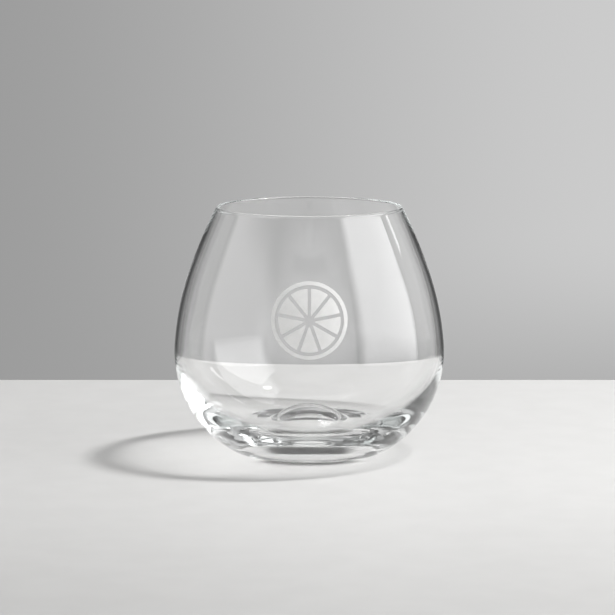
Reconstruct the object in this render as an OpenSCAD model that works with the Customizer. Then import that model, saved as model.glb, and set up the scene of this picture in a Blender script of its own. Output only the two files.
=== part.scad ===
// Stemless gin glass: one blown tumbler with a kicked-up base, and a fired-on print on its front.
// Millimetres, +Z up, the axis on Z, the standing ring on Z = 0, the print facing -Y.

/* [Outside] */
// Overall height
height = 91; // [86:0.5:97]
// Outside diameter at the widest place
belly_d = 100; // [96:0.5:104]
// Radius of the lower bowl in section
bowl_r = 42.5; // [41:0.5:45]
// Radius of the heel, where the bowl turns under
heel_r = 10.5; // [9:0.5:12]
// Radius of the shoulder in section
shoulder_r = 105; // [100:2.5:110]
// Radius of the upper wall in section
upper_r = 230; // [200:5:260]

/* [Inside] */
// Thickness of the bead at the lip
lip_t = 1.3; // [1.2:0.1:1.6]
// Height of the lowest place inside
floor_t = 4.8; // [4.5:0.1:5.1]
// Radius of the inside where the bowl turns under
in_heel_r = 36.45; // [36.2:0.05:36.7]
// Radius of the inside of the lower bowl in section
in_bowl_r = 31; // [30:0.1:31.5]
// Radius of the inside of the shoulder in section
in_shoulder_r = 106; // [104:0.5:107]
// Radius of the inside of the upper wall in section
in_upper_r = 350.1; // [340.1:1:360.1]

/* [Kick] */
// Radius of the top of the kick, inside
kick_crown = 15.8; // [15.6:0.1:16]
// Radius of the flare at its foot
kick_flare = 2.7; // [2.5:0.1:2.9]
// Radius of the top of the hollow under the kick
punt_crown = 13; // [11.5:0.5:13.5]
// Radius of the flare at the hollow's foot
punt_flare = 6; // [4.5:0.5:6.5]
// Width of the ring that the glass stands on
ring_w = 2.8; // [2:0.1:4]
// Rise of the underside from that ring to the hollow
under_rise = 0.8; // [0.4:0.1:1.2]

/* [Print] */
// Diameter of the printed slice
print_d = 27; // [20:0.5:27.5]
// Height of its middle
print_h = 55.5; // [55:0.5:56]
// Thickness of the enamel
print_t = 0.06; // [0.04:0.01:0.1]
// Number of segments in the slice
print_segments = 9; // [6:1:12]
// Width of the rind
print_rind = 1.3; // [0.8:0.1:2]
// Width of the bare lines between segments
print_gap = 1.2; // [0.8:0.1:1.6]

/* [Hidden] */
belly_r = belly_d / 2;
lip_q = lip_t / 2;
deep = 8;

// Directions in which neighbouring arcs share a tangent, each of length one
shoulder_dir = [0.99712, 0.07584];
wall_dir = [0.936, 0.352];
heel_dir = [0.5376, -0.8432];
in_heel_dir = [0.8, -0.6];
foot_dir = [0.07584, -0.99712];
kick_dir = [0.8432, 0.5376];
punt_dir = [0.8, 0.6];

function toward(p, q) = (q - p) / norm(q - p);

// Outside, from the standing ring up to the lip
bowl_c = [belly_r - bowl_r, heel_r - (bowl_r - heel_r) * heel_dir.y];
heel_c = bowl_c + (bowl_r - heel_r) * heel_dir;
shoulder_c = bowl_c - (shoulder_r - bowl_r) * shoulder_dir;
upper_c = shoulder_c - (upper_r - shoulder_r) * wall_dir;
ring_ro = heel_c.x;
ring_ri = ring_ro - ring_w;

// The kick inside and the hollow below it: each a crown on a flare, tangent along its own direction
kick_reach = kick_crown + kick_flare;
kick_r = kick_reach * kick_dir.x;
flare_c = [kick_r, floor_t + kick_flare];
crown_c = [0, flare_c.y - kick_reach * kick_dir.y];
punt_reach = punt_crown + punt_flare;
punt_r = punt_reach * punt_dir.x;
punt_flare_c = [punt_r, under_rise + punt_flare];
punt_c = [0, punt_flare_c.y - punt_reach * punt_dir.y];

// Inside, from the lowest ring around the kick up to the lip
in_heel_c = flare_c - (in_heel_r - kick_flare) * foot_dir;
in_bowl_c = in_heel_c + (in_heel_r - in_bowl_r) * in_heel_dir;
in_shoulder_c = in_bowl_c - (in_shoulder_r - in_bowl_r) * shoulder_dir;
in_upper_c = in_shoulder_c - (in_upper_r - in_shoulder_r) * wall_dir;

// The bead sits midway between the two walls at its height
lip_z = height - lip_q;
function wall_at(c, r, z) = c.x + sqrt(r ^ 2 - (z - c.y) ^ 2);
lip_c = [(wall_at(upper_c, upper_r, lip_z) + wall_at(in_upper_c, in_upper_r, lip_z)) / 2, lip_z];
lip_dir = toward(upper_c, lip_c);

// Neighbouring arcs are parted by short lines across the wall, each from deep inside it to beyond it
function cut(c, r, dir) = [c + (r - deep) * dir, c + (r + deep) * dir];
heel_cut = cut(bowl_c, bowl_r, heel_dir);
shoulder_cut = cut(bowl_c, bowl_r, shoulder_dir);
wall_cut = cut(shoulder_c, shoulder_r, wall_dir);
foot_cut = [flare_c, flare_c + deep * foot_dir];
in_heel_cut = cut(in_bowl_c, in_bowl_r, in_heel_dir);
in_shoulder_cut = cut(in_bowl_c, in_bowl_r, shoulder_dir);
in_wall_cut = cut(in_shoulder_c, in_shoulder_r, wall_dir);
lip_cut = cut(lip_c, 0, lip_dir);

// The part of a disc that lies in a zone
module disc_in(c, r, zone) {
    intersection() {
        translate(c) circle(r, $fn = 360);
        polygon(zone);
    }
}

// Half section of the glass as if it were solid: a core, and the rounded zones that overlap it
module outline() {
    near = deep / 2;
    polygon([
        [0, 0],
        [ring_ro, 0],
        bowl_c + (bowl_r - near) * heel_dir,
        bowl_c + (bowl_r - near) * shoulder_dir,
        shoulder_c + (shoulder_r - near) * wall_dir,
        [lip_c.x - near, lip_c.y - near],
        [0, belly_r]
    ]);
    disc_in(heel_c, heel_r, [heel_cut[0], heel_cut[1], [heel_cut[1].x, -deep], [ring_ro, -deep], [ring_ro, heel_cut[0].y]]);
    disc_in(bowl_c, bowl_r, [heel_cut[0], heel_cut[1], [belly_r + deep, heel_cut[1].y], shoulder_cut[1], shoulder_cut[0]]);
    disc_in(shoulder_c, shoulder_r, [shoulder_cut[0], shoulder_cut[1], wall_cut[1], wall_cut[0]]);
    disc_in(upper_c, upper_r, [wall_cut[0], wall_cut[1], lip_cut[1], lip_cut[0]]);
}

// Half section of the kick, down past the floor
module kick() {
    low = min(crown_c.y, 0) - deep;
    disc_in(crown_c, kick_crown, [crown_c, flare_c, [0, flare_c.y + kick_r]]);
    difference() {
        polygon([crown_c, flare_c, [kick_r, low], [0, low]]);
        translate(flare_c) circle(kick_flare, $fn = 120);
    }
}

// Half section of the space inside, built the same way and open past the lip
module cavity() {
    near = deep / 2;
    difference() {
        translate([0, floor_t - 1]) square([kick_r, in_heel_r + 1]);
        kick();
    }
    disc_in(flare_c, kick_flare, [flare_c, [kick_r, foot_cut[1].y], foot_cut[1]]);
    disc_in(in_heel_c, in_heel_r, [
        foot_cut[0],
        foot_cut[1],
        [in_heel_cut[1].x, foot_cut[1].y],
        in_heel_cut[1],
        in_heel_cut[0],
        [kick_r, in_heel_c.y - near / 2]
    ]);
    disc_in(in_bowl_c, in_bowl_r, [in_heel_cut[0], in_heel_cut[1], [belly_r + deep, in_heel_cut[1].y], in_shoulder_cut[1], in_shoulder_cut[0]]);
    disc_in(in_shoulder_c, in_shoulder_r, [in_shoulder_cut[0], in_shoulder_cut[1], in_wall_cut[1], in_wall_cut[0]]);
    disc_in(in_upper_c, in_upper_r, [in_wall_cut[0], in_wall_cut[1], lip_cut[1], lip_cut[0]]);
    polygon([
        [0, in_heel_c.y - near],
        [kick_r, in_heel_c.y - near],
        in_heel_c + (in_heel_r - near) * in_heel_dir,
        in_bowl_c + (in_bowl_r - near) * shoulder_dir,
        in_shoulder_c + (in_shoulder_r - near) * wall_dir,
        [lip_c.x - near, lip_c.y - near],
        [lip_c.x - near, height + deep],
        [0, height + deep]
    ]);
}

// Half section of the hollow under the kick
module hollow() {
    low = min(punt_c.y, 0) - deep;
    disc_in(punt_c, punt_crown, [punt_c, punt_flare_c, [0, punt_flare_c.y + punt_r]]);
    difference() {
        polygon([punt_c, punt_flare_c, [punt_r, low], [0, low]]);
        translate(punt_flare_c) circle(punt_flare, $fn = 120);
    }
    polygon([[punt_r, low], [ring_ri, low], [ring_ri, 0], [punt_r, under_rise]]);
}

module glass_body() {
    color([0.86, 0.92, 0.93, 0.35])
        rotate_extrude($fn = 120) {
            difference() {
                outline();
                cavity();
                hollow();
            }
            translate(lip_c) circle(lip_q, $fn = 48);
        }
}

// A citrus slice seen from its front: a rind and segments with bare lines between them
module slice() {
    flesh_r = print_d / 2 - print_rind - print_gap;
    difference() {
        circle(d = print_d, $fn = 120);
        circle(print_d / 2 - print_rind, $fn = 120);
    }
    difference() {
        circle(flesh_r, $fn = 120);
        circle(flesh_r * 0.16, $fn = 60);
        for (i = [0 : print_segments - 1])
            rotate(90 + i * 360 / print_segments)
                translate([0, -print_gap / 2])
                    square([flesh_r + 1, print_gap]);
    }
}

module fired_print() {
    low = print_h - print_d / 2 - 0.5;
    color([0.95, 0.95, 0.95])
        intersection() {
            rotate_extrude($fn = 180)
                intersection() {
                    difference() {
                        translate(shoulder_c) circle(shoulder_r + print_t, $fn = 360);
                        translate(shoulder_c) circle(shoulder_r, $fn = 360);
                    }
                    translate([belly_r / 2, low]) square([belly_r, print_d + 1]);
                }
            translate([0, 0, print_h])
                rotate([90, 0, 0])
                    linear_extrude(belly_r + deep)
                        slice();
        }
}

glass_body();
fired_print();
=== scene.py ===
"""Looks of a stemless gin glass: the blown glass, the print fired onto it, and a small studio."""

import math

import bpy
from bpy.props import FloatProperty
from bpy.props import FloatVectorProperty
from bpy.props import IntProperty
from bpy.props import PointerProperty
from bpy.types import Operator
from bpy.types import Panel
from bpy.types import PropertyGroup
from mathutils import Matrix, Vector


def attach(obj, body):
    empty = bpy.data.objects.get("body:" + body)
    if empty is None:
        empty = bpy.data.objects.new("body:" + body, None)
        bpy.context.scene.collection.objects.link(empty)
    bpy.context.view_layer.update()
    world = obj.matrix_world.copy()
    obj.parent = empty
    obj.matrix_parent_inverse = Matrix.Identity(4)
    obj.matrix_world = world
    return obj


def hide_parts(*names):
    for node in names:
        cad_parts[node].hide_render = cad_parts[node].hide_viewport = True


bl_info = {
    "name": "Stemless Gin Glass",
    "version": (1, 0, 0),
    "blender": (4, 5, 0),
    "location": "3D View > Sidebar > Glassware",
    "description": "Builds a stemless gin glass with a kicked-up base, its fired print and a small studio",
    "category": "Object",
}

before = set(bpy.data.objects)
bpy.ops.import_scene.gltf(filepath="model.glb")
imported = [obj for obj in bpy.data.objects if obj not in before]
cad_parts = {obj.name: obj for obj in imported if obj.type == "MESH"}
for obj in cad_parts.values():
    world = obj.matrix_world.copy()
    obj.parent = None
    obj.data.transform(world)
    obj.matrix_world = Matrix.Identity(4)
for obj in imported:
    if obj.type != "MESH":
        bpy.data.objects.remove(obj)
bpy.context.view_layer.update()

# Directions in which neighbouring arcs of the section share a tangent, each of length one
SHOULDER_DIR = Vector((0.99712, 0.07584))
WALL_DIR = Vector((0.936, 0.352))
HEEL_DIR = Vector((0.5376, -0.8432))
KICK_DIR = Vector((0.8432, 0.5376))
PUNT_DIR = Vector((0.8, 0.6))
IN_HEEL_DIR = Vector((0.8, -0.6))
FOOT_DIR = Vector((0.07584, -0.99712))
UPWARD = math.pi / 2.0
DOWNWARD = -UPWARD

# How finely small forms are divided
BEAD_STEP = 0.0001
TABLE_STEP = 0.0003
SEGMENT_RINGS = 24
SEGMENT_SPOKES = 16
RIND_STEPS = 180
SAME_PLACE = 1e-7
TIP_CLEAR = 1.001

# Ranges over which the finish of the glass changes, in metres or as shares
SMEAR_RANGE = (0.45, 0.8)
CORD_STRETCH = (1.0, 1.0, 0.25)
UPPER_WALL = (0.02, 0.05)
RING_REACH = (0.021, 0.0225)
RING_FRONT = (-0.9, -0.7)
LAMP_SIDE = (0.0, 0.045)

# Ranges over which the table's painted shade and its mottle, the softbox and the backdrop's painted light
# and shade change
TABLE_SHADE_FADE = (-0.32, -0.02)
MOTTLE_RANGE = (0.3, 0.7)
BOX_FOOT = (-0.01, 0.2)
# Painted shade at the foot of the backdrop
WALL_FOOT_SHADE = (-0.26, -0.06)

# Parts of a direction of length one over which each part of the room comes in or fades out
FRONT_DEPTH = (-0.85, -0.6)
CEILING_UP = (0.8, 0.9)
SIDE_DEPTH = (0.2, 0.35)
SIDE_UP = (0.35, 0.5)
FLAG_DEPTH = (0.68, 0.71)
FLAG_END = (0.86, 0.92)
CARD_LEFT = (-0.7, -0.45)
CARD_DEPTH = (0.12, 0.28)
CARD_UP = (0.45, 0.7)
STRIP_NEAR = (0.345, 0.355)
STRIP_FAR = (0.4, 0.41)
STRIP_RIGHT = (0.5, 0.6)
STRIP_FOOT = (0.3, 0.32)
STRIP_TOP = (0.5, 0.6)

# Numbers of a Mix node's colour sockets, whose names its other sockets share
MIX_A = 6
MIX_B = 7
MIX_RESULT = 2

# Bounces that the thick base needs, the sensor's width in millimetres and the camera's nearest distance
BOUNCES = 64
SENSOR_WIDTH = 36.0
CLIP_START = 0.01


def length(name, description, default):
    """A property that holds a length in metres."""
    return FloatProperty(
        name=name,
        description=description,
        default=default,
        min=0.0,
        precision=5,
        unit="LENGTH",
    )


def share(name, description, default):
    """A property that holds a share from none to all."""
    return FloatProperty(
        name=name,
        description=description,
        default=default,
        min=0.0,
        max=1.0,
        precision=4,
        subtype="FACTOR",
    )


def amount(name, description, default):
    """A property that holds a plain number."""
    return FloatProperty(name=name, description=description, default=default, precision=4)


def count(name, description, default, least):
    """A property that holds a whole number."""
    return IntProperty(name=name, description=description, default=default, min=least)


def colour(name, description, default):
    """A property that holds a linear colour."""
    return FloatVectorProperty(
        name=name,
        description=description,
        default=default,
        size=3,
        min=0.0,
        subtype="COLOR",
    )


def point(name, description, default):
    """A property that holds a place in metres."""
    return FloatVectorProperty(
        name=name,
        description=description,
        default=default,
        size=3,
        subtype="TRANSLATION",
    )


class GinGlassShape(PropertyGroup):
    """The section of the glass, as the solid has it."""

    height: length("Height", "Overall height", 0.091)
    belly_d: length("Belly diameter", "Outside diameter at the widest place", 0.1)
    bowl_r: length("Bowl radius", "Radius of the lower bowl in section", 0.0425)
    heel_r: length("Heel radius", "Radius where the bowl turns under", 0.0105)
    shoulder_r: length("Shoulder radius", "Radius of the shoulder in section", 0.105)
    upper_r: length("Upper radius", "Radius of the upper wall in section", 0.23)
    lip_t: length("Lip thickness", "Thickness of the bead at the lip", 0.0013)
    floor_t: length("Floor height", "Height of the lowest place inside", 0.0048)
    in_heel_r: length("Inner heel radius", "Radius of the inside where the bowl turns under", 0.03645)
    in_bowl_r: length("Inner bowl radius", "Radius of the inside of the lower bowl", 0.031)
    in_shoulder_r: length("Inner shoulder radius", "Radius of the inside of the shoulder", 0.106)
    in_upper_r: length("Inner upper radius", "Radius of the inside of the upper wall", 0.3501)
    kick_crown: length("Kick crown", "Radius of the top of the kick", 0.0158)
    kick_flare: length("Kick flare", "Radius of the flare at the foot of the kick", 0.0027)
    punt_crown: length("Punt crown", "Radius of the top of the hollow under the kick", 0.013)
    punt_flare: length("Punt flare", "Radius of the flare at the foot of the hollow", 0.006)
    ring_w: length("Ring width", "Width of the ring that the glass stands on", 0.0028)
    under_rise: length("Under rise", "Rise of the underside from that ring to the hollow", 0.0008)
    step: length("Step", "Distance between points along the section", 0.0007)
    segments: count("Segments", "Segments around the axis", 256, 24)


class GinGlassPrint(PropertyGroup):
    """The fired print on the front of the glass."""

    diameter: length("Diameter", "Diameter of the printed slice", 0.027)
    middle: length("Middle", "Height of the middle of the slice", 0.0555)
    thickness: length("Thickness", "Thickness of the enamel", 0.00006)
    clearance: length("Clearance", "Gap that parts the enamel's back from the glass", 0.000012)
    rind: length("Rind", "Width of the rind", 0.0013)
    gap: length("Gap", "Width of the bare lines", 0.0012)
    hub: share("Hub", "Radius of the bare middle as a share of the flesh", 0.16)
    segments: count("Segments", "Number of segments in the slice", 9, 3)


class GinGlassFinish(PropertyGroup):
    """How the glass and the enamel look."""

    ior: amount("Index", "Refractive index of the glass", 1.52)
    tint: colour("Tint", "Colour that the glass keeps as light passes through it", (0.90, 0.955, 0.945))
    density: amount("Density", "How strongly the glass takes up light, per metre", 4.0)
    waviness: length("Waviness", "Height of the slow waves of the blown surface", 0.00001)
    slow_waves: amount("Slow waves", "Slow waves of the blown surface to a metre", 45.0)
    cord_waves: amount("Cord waves", "Finer upright waves to a metre", 160.0)
    cord_height: share("Cord height", "Height of the finer waves as a share of the slow ones", 0.12)
    smear_waves: amount("Smear waves", "Smears on the surface to a metre", 120.0)
    smear: share("Smear", "Roughness of the surface within a smear", 0.012)
    through: share("Through", "Share of a lamp's light that the upper wall lets through", 0.955)
    edge_shade: share("Edge shade", "How much of it is lost where the surface is edge on", 0.955)
    edge_fall: amount("Edge fall", "How closely that loss keeps to the edge", 3.6)
    lit_edge: share("Lit edge", "Share of that loss on the side of the lamps", 0.25)
    base_depth: length("Base depth", "Height below which the heel turns a lamp's light aside", 0.003)
    base_shade: share("Base shade", "How much the front of the heel turns aside at the table", 0.95)
    enamel: colour("Enamel", "Colour of the enamel", (0.93, 0.93, 0.92))
    enamel_ior: amount("Enamel index", "Refractive index of the enamel", 1.5)
    cover: share("Cover", "How much of what lies behind it the enamel hides", 0.5)
    grain_waves: amount("Grain waves", "Grains of the screened enamel to a metre", 9000.0)
    grain_cover: share("Grain cover", "How much the cover changes from grain to grain", 0.16)
    grain_height: length("Grain height", "Height of the grains", 0.00002)
    grain_relief: share("Grain relief", "How strongly the grains show as relief", 0.35)
    cloud_waves: amount("Cloud waves", "Thin patches of the enamel to a metre", 260.0)
    cloud_cover: share("Cloud cover", "How much the cover changes from patch to patch", 0.12)
    satin: share("Satin", "Least roughness of the enamel", 0.42)
    satin_spread: share("Satin spread", "How much rougher it is in places", 0.16)


class GinGlassStage(PropertyGroup):
    """Camera, light and surroundings."""

    camera_at: point("Camera", "Place of the camera", (-0.00066, -0.95, 0.19246))
    pitch: FloatProperty(
        name="Pitch",
        description="How far the camera looks down",
        default=0.14549,
        subtype="ANGLE",
    )
    lens: amount("Lens", "Focal length in millimetres on a 36 mm sensor", 152.01)
    table: colour("Table", "Colour of the table", (0.55, 0.547, 0.54))
    table_rough: share("Table roughness", "Roughness of the table", 0.6)
    # Painted shade: the table's colour darkens towards the camera, where less light falls
    table_front_shade: share("Table front", "How much darker the table is towards the camera", 0.22)
    table_mottle: share("Table mottle", "How much darker the table is in patches", 0.03)
    mottle_waves: amount("Mottle waves", "Patches of the table to a metre", 70.0)
    table_back: length("Table back", "Distance of the table's back edge behind the axis", 0.151)
    table_near: length("Table near", "Distance of the table's front edge before the axis", 1.6)
    table_half: length("Table half width", "Half of the table's width", 0.3)
    table_thick: length("Table thickness", "Thickness of the table", 0.03)
    table_bend: length("Table bend", "Radius of the table's back edge", 0.002)
    table_gap: length("Table gap", "Gap that keeps the table clear of the glass", 0.00005)
    wall_at: length("Backdrop distance", "Distance of the backdrop behind the axis", 1.25)
    wall_half: length("Backdrop half width", "Half of the backdrop's width", 0.33)
    wall_drop: length("Backdrop drop", "How far the backdrop goes down below the table", 0.5)
    wall_rise: length("Backdrop rise", "How far the backdrop goes up above the table", 0.62)
    # The backdrop's glow is painted light: brighter on the right, with painted shade at its foot there
    wall_left: amount("Backdrop left", "Radiance of the backdrop on the left", 0.33)
    wall_right: amount("Backdrop right", "Radiance of the backdrop on the right", 0.61)
    wall_foot_shade: share("Backdrop foot", "How much darker the backdrop is at its foot on the right", 0.35)
    box_at: point("Softbox", "Middle of the softbox's lower edge", (0.55, -0.28, -0.12))
    box_width: length("Softbox width", "Width of the softbox", 0.76)
    box_height: length("Softbox height", "Height of the softbox", 1.12)
    box_fade: length("Softbox fade", "How far the softbox fades out at its near end", 0.22)
    box_level: amount("Softbox level", "Radiance of the softbox", 3.2)
    box_direct: share("Softbox direct", "Share of it that shows where the softbox is the background", 0.2)
    key_at: point("Key", "Place of the key light", (0.53, 0.16, 1.2))
    key_aim: point("Key aim", "Place that the key light faces", (0.0, 0.0, 0.03))
    key_size: length("Key size", "Diameter of the key light", 0.13)
    key_level: amount("Key level", "Radiance of the key light", 390.0)
    room_level: amount("Room level", "Radiance of the rest of the room", 0.06)
    ceiling_level: amount("Ceiling level", "Radiance of the pale ceiling", 1.2)
    front_level: amount("Front level", "Radiance of the room on the camera's side", 1.1)
    side_level: amount("Side level", "Radiance of the grey sides of the room", 0.5)
    flag_level: amount("Flag level", "Radiance of the dark flags between them and the backdrop", 0.16)
    strip_level: amount("Strip level", "Radiance of the narrow strip beside the softbox", 4.5)
    card_level: amount("Card level", "Radiance of the pale card on the left", 0.5)
    card_glint: amount("Card glint", "Radiance of that card as the outside of the glass mirrors it", 2.9)


class Wire:
    """One output of a shader node; arithmetic on it adds Math nodes."""

    def __init__(self, graph, socket):
        self.graph = graph
        self.socket = socket

    def math(self, operation, *values):
        """A Math node on this output and further values."""
        return self.graph.math(operation, self, *values)

    def __add__(self, other):
        return self.graph.math("ADD", self, other)

    def __radd__(self, other):
        return self.graph.math("ADD", other, self)

    def __sub__(self, other):
        return self.graph.math("SUBTRACT", self, other)

    def __rsub__(self, other):
        return self.graph.math("SUBTRACT", other, self)

    def __mul__(self, other):
        return self.graph.math("MULTIPLY", self, other)

    def __rmul__(self, other):
        return self.graph.math("MULTIPLY", other, self)

    def __truediv__(self, other):
        return self.graph.math("DIVIDE", self, other)

    def __rtruediv__(self, other):
        return self.graph.math("DIVIDE", other, self)

    def __pow__(self, other):
        return self.graph.math("POWER", self, other)

    def __rpow__(self, other):
        return self.graph.math("POWER", other, self)

    def beside(self, name):
        """Another output of the same node."""
        return Wire(self.graph, self.socket.node.outputs[name])

    def ramp(self, low, high):
        """Rises smoothly from 0 at low to 1 at high."""
        settings = {"interpolation_type": "SMOOTHSTEP"}
        sockets = {"Value": self, "From Min": low, "From Max": high}
        return self.graph.add("ShaderNodeMapRange", settings, sockets)

    def fall(self, low, high):
        """Falls smoothly from 1 at low to 0 at high."""
        return (self * -1.0).ramp(-high, -low)


class Graph:
    """The node tree of one material or world."""

    def __init__(self, owner):
        owner.use_nodes = True
        self.owner = owner
        self.tree = owner.node_tree
        self.tree.nodes.clear()

    def add(self, kind, settings=None, sockets=None, output=0):
        """Adds a node, sets its properties, sets or links its sockets, and returns one of its outputs."""
        node = self.tree.nodes.new(kind)
        for key, value in (settings or {}).items():
            setattr(node, key, value)
        for key, value in (sockets or {}).items():
            if isinstance(value, Wire):
                self.tree.links.new(value.socket, node.inputs[key])
            else:
                node.inputs[key].default_value = value
        return Wire(self, node.outputs[output]) if node.outputs else None

    def math(self, operation, *values):
        """A Math node on values and outputs."""
        return self.add("ShaderNodeMath", {"operation": operation}, dict(enumerate(values)))

    def noise(self, place, scale, detail=2.0):
        """A noise from 0 to 1 over a place, with so many waves to a metre."""
        settings = {"noise_dimensions": "3D", "normalize": True}
        sockets = {"Vector": place, "Scale": scale, "Detail": detail}
        return self.add("ShaderNodeTexNoise", settings, sockets)


def unmirrored(path):
    """1 for light that no surface has mirrored on its way, else 0, from any output of a Light Path."""
    return path.beside("Glossy Depth").math("LESS_THAN", 0.5)


def clear_glass(finish):
    """Fire-polished soda-lime glass with the slow waves of a blown surface."""
    graph = Graph(bpy.data.materials.new("clear_glass"))
    place = graph.add("ShaderNodeTexCoord", output="Object")
    drawn = graph.add("ShaderNodeMapping", None, {"Vector": place, "Scale": CORD_STRETCH})
    slow = graph.noise(place, finish.slow_waves, 1.0)
    cords = graph.noise(drawn, finish.cord_waves)
    relief = slow + cords * finish.cord_height
    wave = graph.add(
        "ShaderNodeBump",
        None,
        {"Strength": 1.0, "Distance": finish.waviness, "Height": relief},
    )
    smear = graph.noise(place, finish.smear_waves, 4.0).ramp(*SMEAR_RANGE)
    surface = graph.add(
        "ShaderNodeBsdfPrincipled",
        None,
        {
            "Base Color": (1.0, 1.0, 1.0, 1.0),
            "Roughness": smear * finish.smear,
            "IOR": finish.ior,
            "Transmission Weight": 1.0,
            "Normal": wave,
        },
    )
    body = graph.add(
        "ShaderNodeVolumeAbsorption",
        None,
        {"Color": (*finish.tint, 1.0), "Density": finish.density},
    )
    unbent = lamp_share(graph, place, finish)
    clear = graph.add("ShaderNodeBsdfTransparent")
    mixed = graph.add("ShaderNodeMixShader", None, {0: unbent, 1: surface, 2: clear})
    graph.add("ShaderNodeOutputMaterial", None, {"Surface": mixed, "Volume": body})
    return graph.owner


def lamp_share(graph, place, finish):
    """Share of the light between lamps and table that passes the glass unbent; what is seen is bent."""
    path = graph.add("ShaderNodeLightPath", None, None, "Is Shadow Ray")
    lamps = path.math("MAXIMUM", path.beside("Is Diffuse Ray"))
    height = graph.add("ShaderNodeSeparateXYZ", None, {"Vector": place}, "Z")
    flat = graph.add("ShaderNodeVectorMath", {"operation": "MULTIPLY"}, {0: place, 1: (1.0, 1.0, 0.0)})
    reach = graph.add("ShaderNodeVectorMath", {"operation": "LENGTH"}, {0: flat}, "Value")
    front = (height.beside("Y") / reach).fall(*RING_FRONT)
    heel = height.fall(0.0, finish.base_depth) * reach.ramp(*RING_REACH) * front
    edge = graph.add("ShaderNodeLayerWeight", None, {"Blend": 0.5}, "Facing")
    shaded = height.beside("X").fall(*LAMP_SIDE) * (1.0 - finish.lit_edge) + finish.lit_edge
    loss = edge ** finish.edge_fall * shaded * finish.edge_shade
    kept = 1.0 - height.ramp(*UPPER_WALL) * (1.0 - finish.through)
    return lamps * (1.0 - heel * finish.base_shade) * (kept - loss)


def print_enamel(finish):
    """Satin white enamel, screened in fine dots and a little thin in places."""
    graph = Graph(bpy.data.materials.new("print_enamel"))
    place = graph.add("ShaderNodeTexCoord", output="Object")
    grain = graph.noise(place, finish.grain_waves, 3.0)
    cloud = graph.noise(place, finish.cloud_waves, 3.0)
    cover = (grain - 0.5) * finish.grain_cover + (cloud - 0.5) * finish.cloud_cover + finish.cover
    relief = graph.add(
        "ShaderNodeBump",
        None,
        {"Strength": finish.grain_relief, "Distance": finish.grain_height, "Height": grain},
    )
    surface = graph.add(
        "ShaderNodeBsdfPrincipled",
        None,
        {
            "Base Color": (*finish.enamel, 1.0),
            "Roughness": cloud * finish.satin_spread + finish.satin,
            "IOR": finish.enamel_ior,
            "Alpha": cover,
            "Normal": relief,
        },
    )
    graph.add("ShaderNodeOutputMaterial", None, {"Surface": surface})
    return graph.owner


def heading(direction):
    """Angle of a direction in the section, in radians."""
    return math.atan2(direction.y, direction.x)


def arc(centre, radius, start, end, step):
    """Points along an arc of the section, from one angle to the other."""
    pieces = max(3, math.ceil(abs(end - start) * radius / step))
    angles = [start + (end - start) * i / pieces for i in range(pieces + 1)]
    return [centre + radius * Vector((math.cos(a), math.sin(a))) for a in angles]


def line(start, end, step):
    """Points along a straight stretch of the section."""
    pieces = max(2, math.ceil((end - start).length / step))
    return [start.lerp(end, i / pieces) for i in range(pieces + 1)]


def crossing(centre, radius, other, small):
    """The lower of the two places where a wall's arc meets the bead."""
    gap = other - centre
    along = (gap.length_squared + radius ** 2 - small ** 2) / (2.0 * gap.length)
    across = math.sqrt(max(0.0, radius ** 2 - along ** 2))
    forward = gap.normalized()
    side = Vector((-forward.y, forward.x))
    ends = [centre + along * forward + sign * across * side for sign in (-1.0, 1.0)]
    return min(ends, key=lambda place: place.y)


def wall_at(centre, radius, z):
    """Radius of a wall's arc at a height."""
    return centre.x + math.sqrt(radius ** 2 - (z - centre.y) ** 2)


def outer_centres(shape):
    """Centres of the outside's arcs: heel, bowl, shoulder and upper wall."""
    rise = shape.heel_r - (shape.bowl_r - shape.heel_r) * HEEL_DIR.y
    bowl = Vector((shape.belly_d / 2.0 - shape.bowl_r, rise))
    heel = bowl + (shape.bowl_r - shape.heel_r) * HEEL_DIR
    shoulder = bowl - (shape.shoulder_r - shape.bowl_r) * SHOULDER_DIR
    upper = shoulder - (shape.upper_r - shape.shoulder_r) * WALL_DIR
    return heel, bowl, shoulder, upper


def inner_centres(shape):
    """Centres of the inside's arcs: the kick's crown and flare, heel, bowl, shoulder and upper wall."""
    reach = shape.kick_crown + shape.kick_flare
    flare = Vector((reach * KICK_DIR.x, shape.floor_t + shape.kick_flare))
    crown = Vector((0.0, flare.y - reach * KICK_DIR.y))
    heel = flare - (shape.in_heel_r - shape.kick_flare) * FOOT_DIR
    bowl = heel + (shape.in_heel_r - shape.in_bowl_r) * IN_HEEL_DIR
    shoulder = bowl - (shape.in_shoulder_r - shape.in_bowl_r) * SHOULDER_DIR
    upper = shoulder - (shape.in_upper_r - shape.in_shoulder_r) * WALL_DIR
    return crown, flare, heel, bowl, shoulder, upper


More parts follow.
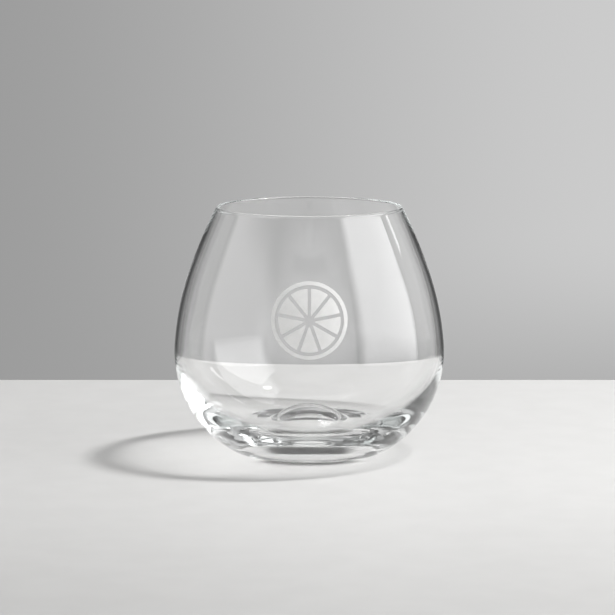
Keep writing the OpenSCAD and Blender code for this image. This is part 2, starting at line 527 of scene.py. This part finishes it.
def section(shape):
    """The half section, from the top of the kick over the lip to the top of the hollow below."""
    crown, flare, in_heel, in_bowl, in_shoulder, in_upper = inner_centres(shape)
    heel, bowl, shoulder, upper = outer_centres(shape)
    bead_r = shape.lip_t / 2.0
    bead_z = shape.height - bead_r
    inside = wall_at(in_upper, shape.in_upper_r, bead_z)
    outside = wall_at(upper, shape.upper_r, bead_z)
    bead = Vector(((inside + outside) / 2.0, bead_z))
    in_end = crossing(in_upper, shape.in_upper_r, bead, bead_r)
    out_end = crossing(upper, shape.upper_r, bead, bead_r)
    turn = heading(in_end - bead) % (2.0 * math.pi)
    step = shape.step
    arcs = (
        (crown, shape.kick_crown, UPWARD, heading(KICK_DIR), step),
        (flare, shape.kick_flare, heading(-KICK_DIR), heading(FOOT_DIR), step / 2.0),
        (in_heel, shape.in_heel_r, heading(FOOT_DIR), heading(IN_HEEL_DIR), step),
        (in_bowl, shape.in_bowl_r, heading(IN_HEEL_DIR), heading(SHOULDER_DIR), step),
        (in_shoulder, shape.in_shoulder_r, heading(SHOULDER_DIR), heading(WALL_DIR), step),
        (in_upper, shape.in_upper_r, heading(WALL_DIR), heading(in_end - in_upper), step),
        (bead, bead_r, turn, heading(out_end - bead), BEAD_STEP),
        (upper, shape.upper_r, heading(out_end - upper), heading(WALL_DIR), step),
        (shoulder, shape.shoulder_r, heading(WALL_DIR), heading(SHOULDER_DIR), step),
        (bowl, shape.bowl_r, heading(SHOULDER_DIR), heading(HEEL_DIR), step),
        (heel, shape.heel_r, heading(HEEL_DIR), DOWNWARD, step / 2.0),
    )
    points = [place for values in arcs for place in arc(*values)]
    return without_repeats(points + underside(shape, heel.x))


def underside(shape, ring_r):
    """Points of the standing ring and the hollow, from the ring's outer edge to the axis."""
    step = shape.step
    reach = shape.punt_crown + shape.punt_flare
    flare = Vector((reach * PUNT_DIR.x, shape.under_rise + shape.punt_flare))
    crown = Vector((0.0, flare.y - reach * PUNT_DIR.y))
    ring = Vector((ring_r - shape.ring_w, 0.0))
    points = line(Vector((ring_r, 0.0)), ring, step / 2.0)
    points += line(ring, Vector((flare.x, shape.under_rise)), step)
    points += arc(flare, shape.punt_flare, DOWNWARD, heading(-PUNT_DIR), step / 2.0)
    points += arc(crown, shape.punt_crown, heading(PUNT_DIR), UPWARD, step)
    return points


def without_repeats(points):
    """The points with each that falls on the one before it left out."""
    kept = [points[0]]
    for place in points[1:]:
        if (place - kept[-1]).length > SAME_PLACE:
            kept.append(place)
    return kept


def add_object(name, vertices, faces, material, smooth=False):
    """A mesh object in the scene."""
    mesh = bpy.data.meshes.new(name)
    mesh.from_pydata(vertices, [], faces)
    mesh.validate()
    mesh.polygons.foreach_set("use_smooth", [smooth] * len(mesh.polygons))
    mesh.materials.append(material)
    mesh.update()
    piece = bpy.data.objects.new(name, mesh)
    bpy.context.scene.collection.objects.link(piece)
    return piece


def revolved(points, segments):
    """Vertices and faces of a section turned about the axis, closed by a fan at each end."""
    turns = [2.0 * math.pi * i / segments for i in range(segments)]
    ring = [(math.cos(a), math.sin(a)) for a in turns]
    vertices = [(0.0, 0.0, points[0].y)]
    for place in points[1:-1]:
        vertices += [(place.x * c, place.x * s, place.y) for c, s in ring]
    vertices.append((0.0, 0.0, points[-1].y))
    last = len(vertices) - 1
    rows = len(points) - 2
    faces = []
    for i in range(segments):
        j = (i + 1) % segments
        faces.append((0, 1 + i, 1 + j))
        for row in range(rows - 1):
            low = 1 + row * segments
            high = low + segments
            faces.append((low + i, high + i, high + j, low + j))
        low = 1 + (rows - 1) * segments
        faces.append((low + i, last, low + j))
    return vertices, faces


class GINGLASS_OT_body(Operator):
    """Turns the section of the glass into one smooth closed body"""

    bl_idname = "ginglass.body"
    bl_label = "Glass Body"
    bl_options = {"REGISTER", "UNDO"}

    def execute(self, context):
        shape = context.scene.ginglass_shape
        vertices, faces = revolved(section(shape), shape.segments)
        material = clear_glass(context.scene.ginglass_finish)
        piece = add_object("blown_glass", vertices, faces, material, smooth=True)
        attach(piece, "root")
        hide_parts("glass_body")
        return {"FINISHED"}


def patch(rows, place, low, high):
    """Closed sheet over a grid of flat points, lying between two heights above the glass."""
    wide = len(rows[0])
    flat = [spot for row in rows for spot in row]
    vertices = [place(u, v, high) for u, v in flat] + [place(u, v, low) for u, v in flat]
    under = len(flat)
    faces = []
    for i in range(len(rows) - 1):
        for j in range(wide - 1):
            a = i * wide + j
            b = a + wide
            faces.append((a, a + 1, b + 1, b))
            faces.append((under + a, under + b, under + b + 1, under + a + 1))
    edge = list(range(wide))
    edge += [i * wide + wide - 1 for i in range(1, len(rows))]
    edge += [(len(rows) - 1) * wide + j for j in range(wide - 2, -1, -1)]
    edge += [i * wide for i in range(len(rows) - 2, 0, -1)]
    for a, b in zip(edge, edge[1:] + edge[:1]):
        faces.append((a, under + a, under + b, b))
    return vertices, faces


class GINGLASS_OT_print(Operator):
    """Lays a printed citrus slice on the front of the shoulder"""

    bl_idname = "ginglass.print"
    bl_label = "Fired Print"
    bl_options = {"REGISTER", "UNDO"}

    def execute(self, context):
        shape = context.scene.ginglass_shape
        design = context.scene.ginglass_print
        _heel, _bowl, shoulder, _upper = outer_centres(shape)

        def on_glass(u, v, height):
            z = design.middle + v
            radius = wall_at(shoulder, shape.shoulder_r + height, z)
            return (u, -math.sqrt(radius ** 2 - u ** 2), z)

        outer = design.diameter / 2.0
        inner = outer - design.rind
        vertices = []
        faces = []
        for i in range(design.segments):
            rows = self.wedge(i, inner - design.gap, design)
            self.join(vertices, faces, patch(rows, on_glass, design.clearance, design.thickness))
        self.join(vertices, faces, self.rind(outer, inner, on_glass, design))
        material = print_enamel(context.scene.ginglass_finish)
        piece = add_object("printed_slice", vertices, faces, material)
        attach(piece, "root")
        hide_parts("fired_print")
        return {"FINISHED"}

    def join(self, vertices, faces, sheet):
        """Adds a sheet to the lists of the whole print."""
        start = len(vertices)
        vertices.extend(sheet[0])
        faces.extend(tuple(start + corner for corner in face) for face in sheet[1])

    def wedge(self, index, flesh, design):
        """Grid of flat points over one segment of the slice."""
        pitch = 2.0 * math.pi / design.segments
        first = UPWARD + index * pitch
        tip = max(flesh * design.hub, design.gap / 2.0 / math.sin(pitch / 2.0)) * TIP_CLEAR
        rows = []
        for i in range(SEGMENT_RINGS + 1):
            radius = tip + (flesh - tip) * i / SEGMENT_RINGS
            inset = math.asin(design.gap / 2.0 / radius)
            low = first + inset
            high = first + pitch - inset
            angles = [low + (high - low) * j / SEGMENT_SPOKES for j in range(SEGMENT_SPOKES + 1)]
            rows.append([(radius * math.cos(a), radius * math.sin(a)) for a in angles])
        return rows

    def rind(self, outer, inner, place, design):
        """Closed ring around the segments."""
        turns = [2.0 * math.pi * i / RIND_STEPS for i in range(RIND_STEPS)]
        heights = (design.thickness, design.thickness, design.clearance, design.clearance)
        radii = (outer, inner, inner, outer)
        vertices = []
        for radius, height in zip(radii, heights):
            vertices += [place(radius * math.cos(a), radius * math.sin(a), height) for a in turns]
        faces = []
        for i in range(RIND_STEPS):
            j = (i + 1) % RIND_STEPS
            for k in range(len(radii)):
                a = k * RIND_STEPS
                b = ((k + 1) % len(radii)) * RIND_STEPS
                faces.append((a + i, a + j, b + j, b + i))
        return vertices, faces


class GINGLASS_OT_stage(Operator):
    """Sets the table, the soft light, the room and the camera"""

    bl_idname = "ginglass.stage"
    bl_label = "Studio"
    bl_options = {"REGISTER", "UNDO"}

    def execute(self, context):
        stage = context.scene.ginglass_stage
        self.table(stage)
        self.softbox(stage)
        self.backdrop(stage)
        self.key(context.scene, stage)
        self.room(context.scene, stage)
        self.camera(context.scene, stage)
        context.scene.view_settings.view_transform = "Standard"
        cycles = context.scene.cycles
        cycles.max_bounces = BOUNCES
        cycles.transmission_bounces = BOUNCES
        cycles.glossy_bounces = BOUNCES
        cycles.caustics_reflective = False
        cycles.caustics_refractive = False
        return {"FINISHED"}

    def table(self, stage):
        """A pale slab with a softened back edge, just below the ring that the glass stands on."""
        top = -stage.table_gap
        bottom = top - stage.table_thick
        near = -stage.table_near
        bend = stage.table_bend
        turned = Vector((stage.table_back - bend, top - bend))
        profile = [Vector((near, bottom)), Vector((near, top))]
        profile += arc(turned, bend, UPWARD, 0.0, TABLE_STEP)
        profile.append(Vector((stage.table_back, bottom)))
        wide = len(profile)
        half = stage.table_half
        vertices = [(x, spot.x, spot.y) for x in (-half, half) for spot in profile]
        faces = [(i, (i + 1) % wide, wide + (i + 1) % wide, wide + i) for i in range(wide)]
        faces += [tuple(range(wide - 1, -1, -1)), tuple(range(wide, 2 * wide))]
        slab = add_object("table", vertices, faces, self.table_top(stage))

    def table_top(self, stage):
        """Pale and faintly mottled, with shade painted on it that darkens it towards the camera, where
        less light falls.
        """
        graph = Graph(bpy.data.materials.new("table"))
        place = graph.add("ShaderNodeTexCoord", output="Object")
        away = graph.add("ShaderNodeSeparateXYZ", None, {"Vector": place}, "Y")
        patches = graph.noise(place, stage.mottle_waves, 5.0).ramp(*MOTTLE_RANGE)
        mottle = patches * stage.table_mottle + (1.0 - stage.table_mottle)
        # Painted shade: darker towards the camera, where less light falls, times the mottle
        shade = (away.ramp(*TABLE_SHADE_FADE) * stage.table_front_shade + (1.0 - stage.table_front_shade)) * mottle
        tone = graph.add(
            "ShaderNodeMix",
            {"data_type": "RGBA"},
            {"Factor": shade, MIX_A: (0.0, 0.0, 0.0, 1.0), MIX_B: (*stage.table, 1.0)},
            MIX_RESULT,
        )
        surface = graph.add(
            "ShaderNodeBsdfPrincipled",
            None,
            {"Base Color": tone, "Roughness": stage.table_rough},
        )
        graph.add("ShaderNodeOutputMaterial", None, {"Surface": surface})
        return graph.owner

    def glowing(self, name, corners, radiance, direct=1.0):
        """A panel that gives light, unseen from behind; as a background it shows only a share of it."""
        graph = Graph(bpy.data.materials.new(name))
        place = graph.add("ShaderNodeTexCoord", output="Object")
        x = graph.add("ShaderNodeSeparateXYZ", None, {"Vector": place}, "X")
        level = radiance(x, x.beside("Y"), x.beside("Z"))
        path = graph.add("ShaderNodeLightPath", None, None, "Is Camera Ray")
        passed = unmirrored(path) * path.beside("Is Transmission Ray")
        dimmed = 1.0 - path.math("MAXIMUM", passed) * (1.0 - direct)
        glow = graph.add("ShaderNodeEmission", None, {"Color": level * dimmed, "Strength": 1.0})
        behind = graph.add("ShaderNodeNewGeometry", output="Backfacing")
        clear = graph.add("ShaderNodeBsdfTransparent")
        mixed = graph.add("ShaderNodeMixShader", None, {0: behind, 1: glow, 2: clear})
        graph.add("ShaderNodeOutputMaterial", None, {"Surface": mixed})
        add_object(name, corners, [(0, 1, 2, 3)], graph.owner)

    def softbox(self, stage):
        """One large soft light on the right, fading out at its near end and at its foot."""
        x, y, low = stage.box_at
        high = low + stage.box_height
        near = y - stage.box_width / 2.0
        far = y + stage.box_width / 2.0
        corners = [(x, near, low), (x, near, high), (x, far, high), (x, far, low)]

        def radiance(_across, along, height):
            end = along.ramp(near, near + stage.box_fade)
            foot = height.ramp(low + BOX_FOOT[0], low + BOX_FOOT[1])
            return end * foot * stage.box_level

        self.glowing("softbox", corners, radiance, stage.box_direct)

    def backdrop(self, stage):
        """A glowing grey panel behind the table, with painted light brighter on the right and painted
        shade at its foot there.
        """
        half = stage.wall_half
        low = -stage.wall_drop
        high = stage.wall_rise
        y = stage.wall_at
        corners = [(-half, y, low), (half, y, low), (half, y, high), (-half, y, high)]

        def radiance(across, _along, height):
            right = across.ramp(-half, half)
            # Painted shade at the foot on the right, and painted light rising towards the right
            foot = 1.0 - height.fall(*WALL_FOOT_SHADE) * right * stage.wall_foot_shade
            return (right * (stage.wall_right - stage.wall_left) + stage.wall_left) * foot

        self.glowing("backdrop", corners, radiance)

    def key(self, scene, stage):
        """A small strong light high on the right, which casts the shadow of the glass."""
        lamp = bpy.data.lights.new("key", "AREA")
        lamp.shape = "DISK"
        lamp.size = stage.key_size
        lamp.energy = stage.key_level * (math.pi * stage.key_size / 2.0) ** 2
        lit = bpy.data.objects.new("key", lamp)
        lit.location = stage.key_at
        back = Vector(stage.key_at) - Vector(stage.key_aim)
        lit.rotation_euler = back.to_track_quat("Z", "Y").to_euler()
        scene.collection.objects.link(lit)

    def room(self, scene, stage):
        """A dim room: pale ceiling and front, grey sides, dark flags, a bright strip and a pale card."""
        scene.world = bpy.data.worlds.new("room")
        graph = Graph(scene.world)
        way = graph.add("ShaderNodeTexCoord", output="Generated")
        depth = graph.add("ShaderNodeSeparateXYZ", None, {"Vector": way}, "Y")
        right = depth.beside("X")
        up = depth.beside("Z")
        front = depth.fall(*FRONT_DEPTH) * (stage.front_level - stage.room_level)
        ceiling = up.ramp(*CEILING_UP) * depth.ramp(*SIDE_DEPTH) * stage.ceiling_level
        side = depth.ramp(*SIDE_DEPTH) * stage.side_level
        flag = depth.ramp(*FLAG_DEPTH) * (stage.flag_level - stage.side_level)
        end = depth.ramp(*FLAG_END) * stage.flag_level
        strip = (depth.ramp(*STRIP_NEAR) - depth.ramp(*STRIP_FAR)) * right.ramp(*STRIP_RIGHT)
        strip = strip * up.ramp(*STRIP_FOOT) * up.fall(*STRIP_TOP) * stage.strip_level
        level = front + stage.room_level + ceiling + (side + flag - end) * up.fall(*SIDE_UP) + strip
        level = level + self.card(graph, stage, right, depth, up)
        glow = graph.add("ShaderNodeBackground", None, {"Color": level, "Strength": 1.0})
        graph.add("ShaderNodeOutputWorld", None, {"Surface": glow})

    def card(self, graph, stage, right, depth, up):
        """Radiance of the card on the left, brightest as the outside of the glass mirrors it."""
        card = right.fall(*CARD_LEFT) * depth.fall(*CARD_DEPTH) * up.fall(*CARD_UP)
        path = graph.add("ShaderNodeLightPath", None, None, "Is Glossy Ray")
        outside = path.beside("Transmission Depth").math("LESS_THAN", 0.5)
        seen = outside.math("MAXIMUM", unmirrored(path))
        glint = path * outside * (stage.card_glint - stage.card_level)
        return card * (glint + seen * stage.card_level)

    def camera(self, scene, stage):
        """The camera, at the photograph's place."""
        lens = bpy.data.cameras.new("camera")
        lens.lens = stage.lens
        lens.sensor_width = SENSOR_WIDTH
        lens.clip_start = CLIP_START
        viewer = bpy.data.objects.new("camera", lens)
        viewer.location = stage.camera_at
        viewer.rotation_euler = (math.pi / 2.0 - stage.pitch, 0.0, 0.0)
        scene.collection.objects.link(viewer)
        scene.camera = viewer


class GINGLASS_PT_panel(Panel):
    """Settings of the glass and the buttons that build it"""

    bl_label = "Gin Glass"
    bl_idname = "GINGLASS_PT_panel"
    bl_space_type = "VIEW_3D"
    bl_region_type = "UI"
    bl_category = "Glassware"

    def draw(self, context):
        for group in GROUPS:
            settings = getattr(context.scene, group)
            box = self.layout.box()
            for key in settings.__annotations__:
                box.prop(settings, key)
        for step in STEPS:
            self.layout.operator(step.bl_idname)


GROUPS = {
    "ginglass_shape": GinGlassShape,
    "ginglass_print": GinGlassPrint,
    "ginglass_finish": GinGlassFinish,
    "ginglass_stage": GinGlassStage,
}
STEPS = (GINGLASS_OT_body, GINGLASS_OT_print, GINGLASS_OT_stage)


def register():
    for group, kind in GROUPS.items():
        bpy.utils.register_class(kind)
        setattr(bpy.types.Scene, group, PointerProperty(type=kind))
    for step in STEPS:
        bpy.utils.register_class(step)
    bpy.utils.register_class(GINGLASS_PT_panel)


def unregister():
    bpy.utils.unregister_class(GINGLASS_PT_panel)
    for step in reversed(STEPS):
        bpy.utils.unregister_class(step)
    for group, kind in GROUPS.items():
        delattr(bpy.types.Scene, group)
        bpy.utils.unregister_class(kind)


def main():
    register()
    bpy.ops.ginglass.body()
    bpy.ops.ginglass.print()
    bpy.ops.ginglass.stage()


if __name__ == "__main__":
    main()
